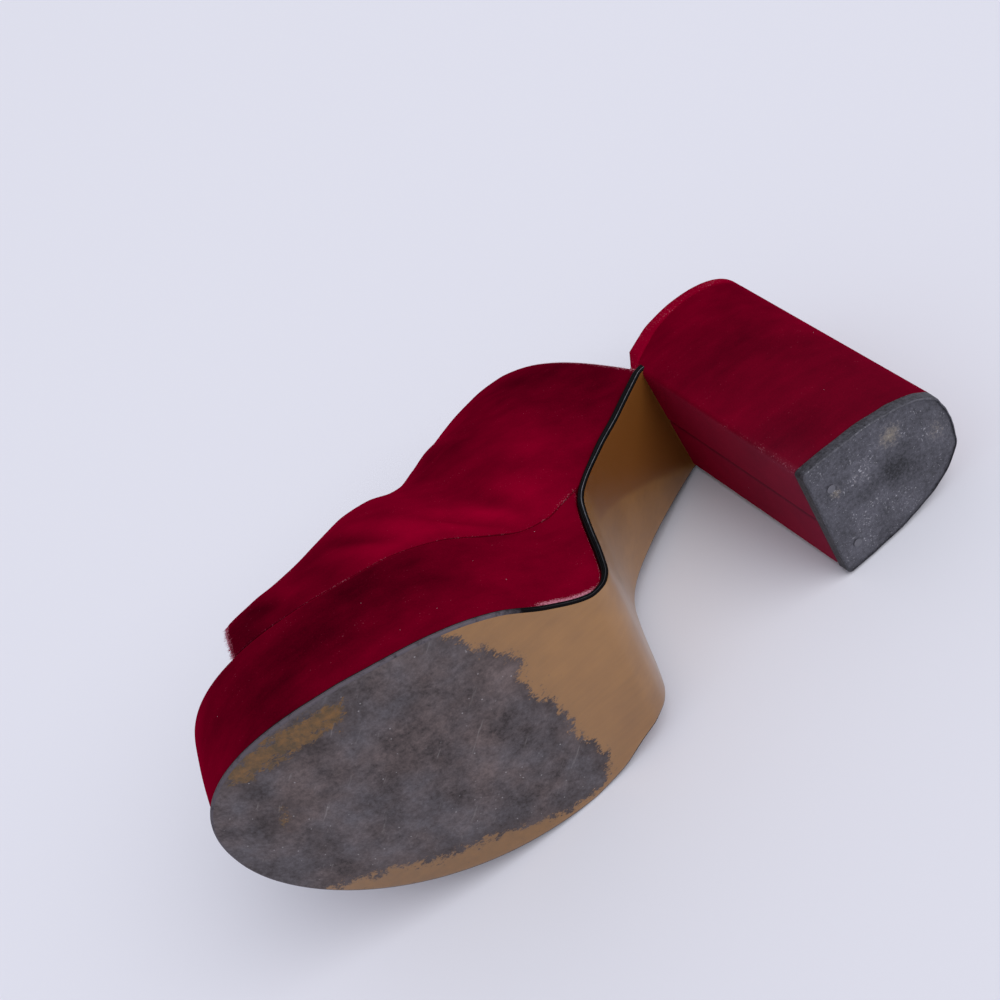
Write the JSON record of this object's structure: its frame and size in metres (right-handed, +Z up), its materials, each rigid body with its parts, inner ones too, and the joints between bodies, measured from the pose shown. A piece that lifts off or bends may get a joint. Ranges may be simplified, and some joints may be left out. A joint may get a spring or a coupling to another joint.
{
  "type": "platform mule",
  "caption": "Right platform mule with open toe and open back: wide velvet vamp, covered platform and tall block heel on a leather outsole, lying on its outer side.",
  "frame": {"origin": "middle of the bottom of the shoe's box, as it lies on its outer side", "axes": "+X to the toe, +Y the way the tread faces, +Z up, to the inner side of the shoe"},
  "size_m": [0.2438, 0.1496, 0.1017],
  "materials": {
    "sole_leather": "varnished tan leather, worn grey on the tread",
    "platform_velvet": "crimson cotton velvet",
    "insole_velvet": "crimson cotton velvet",
    "upper_velvet": "crimson cotton velvet",
    "heel_velvet": "crimson cotton velvet",
    "top_piece_rubber": "dark hard rubber, scuffed"
  },
  "bodies": {
    "root": {"outsole": "sole_leather", "platform": "platform_velvet", "insole": "insole_velvet", "upper": "upper_velvet", "heel": "heel_velvet", "top_piece": "top_piece_rubber"}
  },
  "joints": []
}
